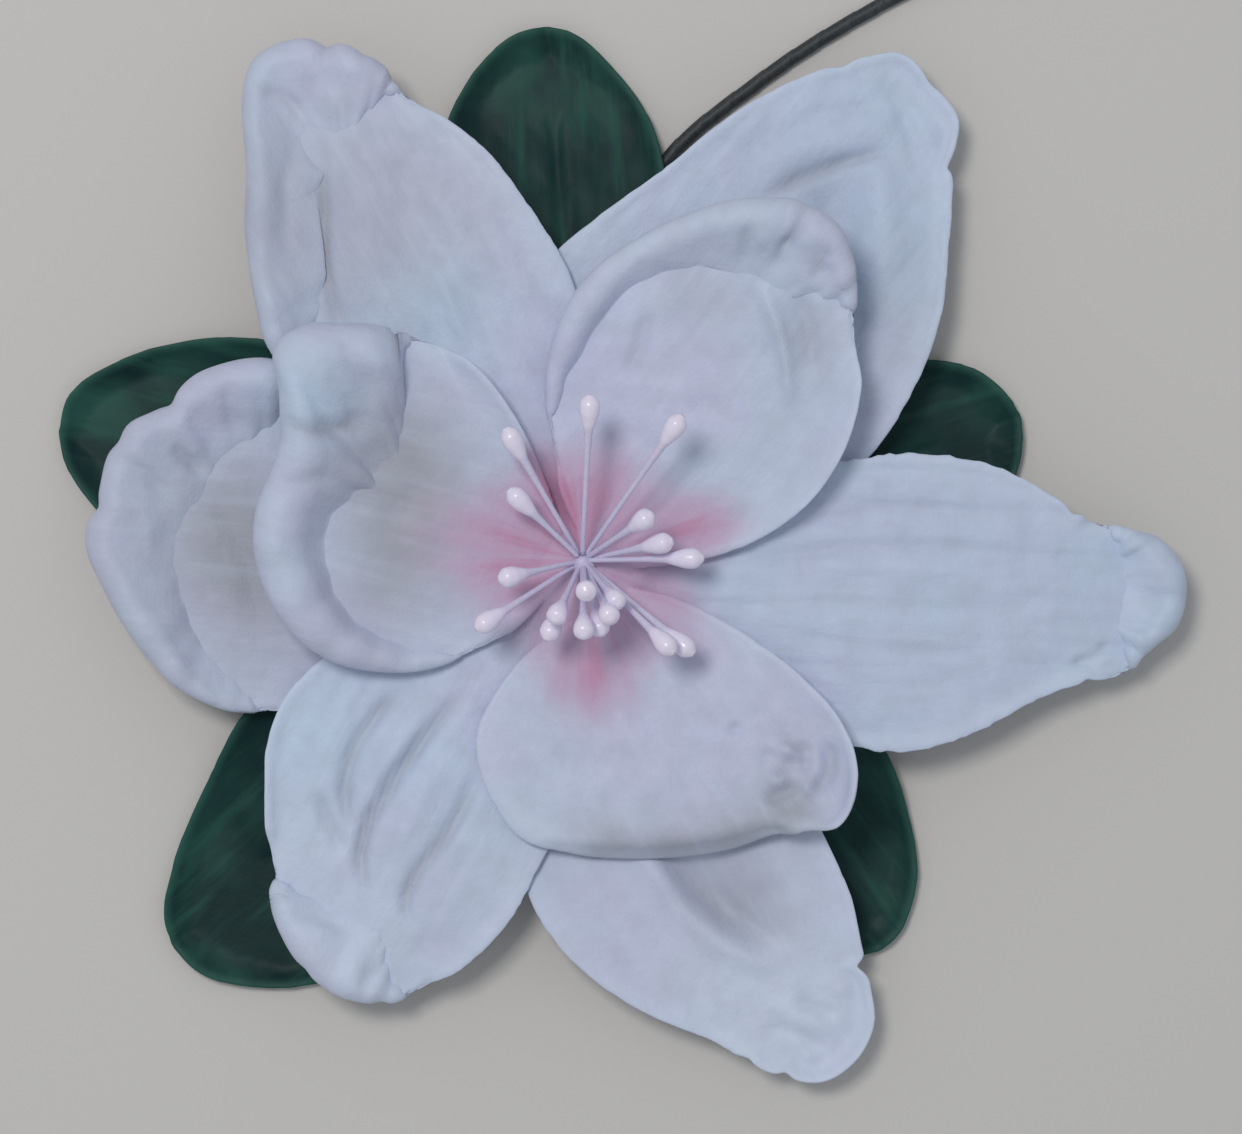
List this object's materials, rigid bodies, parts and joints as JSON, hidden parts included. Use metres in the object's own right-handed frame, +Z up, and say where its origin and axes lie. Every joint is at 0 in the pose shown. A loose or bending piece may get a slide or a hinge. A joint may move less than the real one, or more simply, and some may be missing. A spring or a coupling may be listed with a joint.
{
  "type": "artificial magnolia flower",
  "caption": "White foam magnolia flower lying face up: cupped tepals with rolled rims in whorls, green leaves beneath, bead-headed stamens and a thin bent wire stem.",
  "frame": {"origin": "where the flower's axis meets the surface it lies on: the middle of the flat spot under the receptacle", "axes": "+Z up, out of the flower's face; +Y towards the top of the picture, the side that the stem leaves on; +X to the right of the picture"},
  "size_m": [0.1813, 0.1742, 0.0321],
  "materials": {
    "tepal": "matte white craft foam sheet, heat shaped, with a cool cast and a pink blush at the throat",
    "leaf": "foam sheet painted dark bluish green, satin, lighter towards the tips",
    "receptacle": "matte foam tinted pink",
    "stem": "near-black florist's tape over wire, dull",
    "stamen": "pale lilac pearl bead heads on thin threads, soft gloss"
  },
  "bodies": {
    "root": {"outer_tepal_1": "tepal", "outer_tepal_2": "tepal", "outer_tepal_3": "tepal", "middle_tepal_1": "tepal", "middle_tepal_2": "tepal", "middle_tepal_3": "tepal", "inner_tepal_1": "tepal", "inner_tepal_2": "tepal", "inner_tepal_3": "tepal", "leaf_1": "leaf", "leaf_2": "leaf", "leaf_3": "leaf", "leaf_4": "leaf", "leaf_5": "leaf", "receptacle": "receptacle", "stem": "stem", "stamens": "stamen"}
  },
  "joints": []
}
